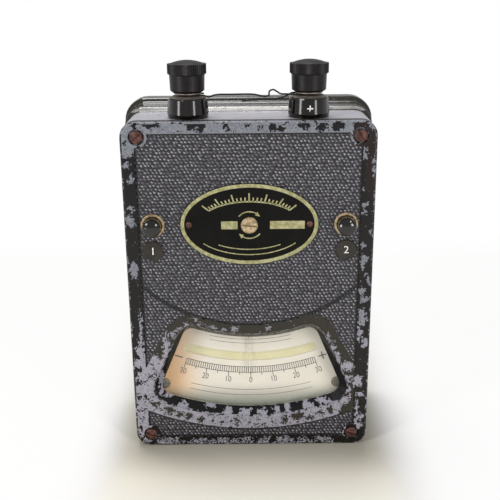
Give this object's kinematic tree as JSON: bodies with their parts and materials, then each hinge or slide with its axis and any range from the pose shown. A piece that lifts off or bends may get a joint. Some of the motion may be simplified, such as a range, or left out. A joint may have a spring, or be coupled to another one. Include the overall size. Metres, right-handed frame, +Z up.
{
  "type": "galvanometer",
  "caption": "Portable pointer galvanometer in a stepped metal case with a sector window, press keys, a zero adjuster and screw terminals joined by a loose shorting wire.",
  "frame": {"origin": "middle of the flat bottom end that the instrument stands on, at half the case's depth", "axes": "+Z up towards the terminals, -Y out of the dial side, +X to the right as the dial is read"},
  "size_m": [0.0954, 0.0504, 0.1457],
  "materials": {
    "enamel": "worn semi-gloss black enamel on a casting",
    "gasket": "matt",
    "screw_copper": "worn, coppered",
    "brass": "satin",
    "steel": "satin",
    "bakelite": "moulded thermoset, satin to glossy",
    "glass": "clear",
    "mirror": "silvered",
    "dial": "painted cream with printed marks",
    "board": "laminated board",
    "magnet": "painted",
    "iron": "machined",
    "aluminium": "bare",
    "copper_wire": "enamelled winding",
    "black_wire": "insulated wire",
    "pointer_black": "painted black"
  },
  "bodies": {
    "instrument": {"case": "enamel", "front_cover": "enamel", "cover_gasket": "gasket", "cover_screws": "screw_copper", "window_glass": "glass", "glass_retainer": "steel", "retainer_screws": "steel", "nameplate": "enamel", "nameplate_pins": "screw_copper", "key_spring_left": "steel", "key_spring_right": "steel", "key_bush_left": "brass", "key_bush_right": "brass", "key_bush_nuts": "brass", "key_disc_left": "enamel", "key_disc_right": "enamel", "contact_boards": "board", "contact_studs": "brass", "post_seats": "steel", "post_collar_left": "bakelite", "post_collar_right": "bakelite", "post_studs": "brass", "post_insulators": "board", "solder_lugs": "brass", "post_nuts": "brass", "shorting_wire": "black_wire", "magnet": "magnet", "pole_piece_left": "iron", "pole_piece_right": "iron", "core": "iron", "core_bridge": "brass", "front_bridge": "brass", "rear_bridge": "brass", "movement_screws": "steel", "jewel_screws": "brass", "hairspring_rear": "copper_wire", "dial_plate": "dial", "dial_mirror": "mirror", "dial_screws": "brass", "dial_posts": "brass", "back_screws": "steel", "resistor_spool": "board", "resistor_winding": "copper_wire"},
    "moving_coil": {"coil_former": "aluminium", "coil_winding": "copper_wire", "coil_pivots": "steel", "pointer": "pointer_black", "balance_weights": "brass"},
    "zero_screw": {"zero_screw": "brass"},
    "zero_arm": {"zero_arm": "brass", "hairspring_front": "copper_wire"},
    "key_left": {"key_button_left": "bakelite", "key_plunger_left": "brass"},
    "key_right": {"key_button_right": "bakelite", "key_plunger_right": "brass"},
    "washer_left": {"clamp_washer_left": "steel"},
    "washer_right": {"clamp_washer_right": "steel"},
    "cap_left": {"post_cap_left": "bakelite"},
    "cap_right": {"post_cap_right": "bakelite"}
  },
  "joints": [
    {"name": "pointer_swing", "type": "hinge", "parent": "instrument", "child": "moving_coil", "pos_m": [0, 0.00077, 0.1074], "axis": [0, -1, 0], "range_deg": [-19.7, 21.2], "stiffness_Nm_per_rad": 0.00002},
    {"name": "zero_adjust", "type": "hinge", "parent": "instrument", "child": "zero_screw", "pos_m": [0, -0.02092, 0.0893], "axis": [0, -1, 0], "range_deg": [-60, 60]},
    {"name": "zero_arm_turn", "type": "hinge", "parent": "instrument", "child": "zero_arm", "pos_m": [0, -0.01572, 0.1074], "axis": [0, -1, 0], "range_deg": [-4, 4]},
    {"name": "key_left_press", "type": "slide", "parent": "instrument", "child": "key_left", "axis": [0, 1, 0], "range_m": [0, 0.0028], "stiffness_N_per_m": 150, "springref_m": -0.003, "deforming": ["key_spring_left"]},
    {"name": "key_right_press", "type": "slide", "parent": "instrument", "child": "key_right", "axis": [0, 1, 0], "range_m": [0, 0.0028], "stiffness_N_per_m": 150, "springref_m": -0.003, "deforming": ["key_spring_right"]},
    {"name": "post_left_lift", "type": "slide", "parent": "instrument", "child": "washer_left", "axis": [0, 0, 1], "range_m": [0, 0.0032]},
    {"name": "post_left_turn", "type": "hinge", "parent": "washer_left", "child": "cap_left", "pos_m": [-0.02124, -0.01153, 0.138], "axis": [0, 0, 1], "range_deg": [0, 1441]},
    {"name": "post_right_lift", "type": "slide", "parent": "instrument", "child": "washer_right", "axis": [0, 0, 1], "range_m": [0, 0.0032]},
    {"name": "post_right_turn", "type": "hinge", "parent": "washer_right", "child": "cap_right", "pos_m": [0.02124, -0.01153, 0.138], "axis": [0, 0, 1], "range_deg": [0, 1441]}
  ],
  "couplings": [
    {"joint": "zero_arm_turn", "follows": "zero_adjust", "ratio": 0.06},
    {"joint": "post_left_turn", "follows": "post_left_lift", "rad_per_m": 7854},
    {"joint": "post_right_turn", "follows": "post_right_lift", "rad_per_m": 7854}
  ]
}
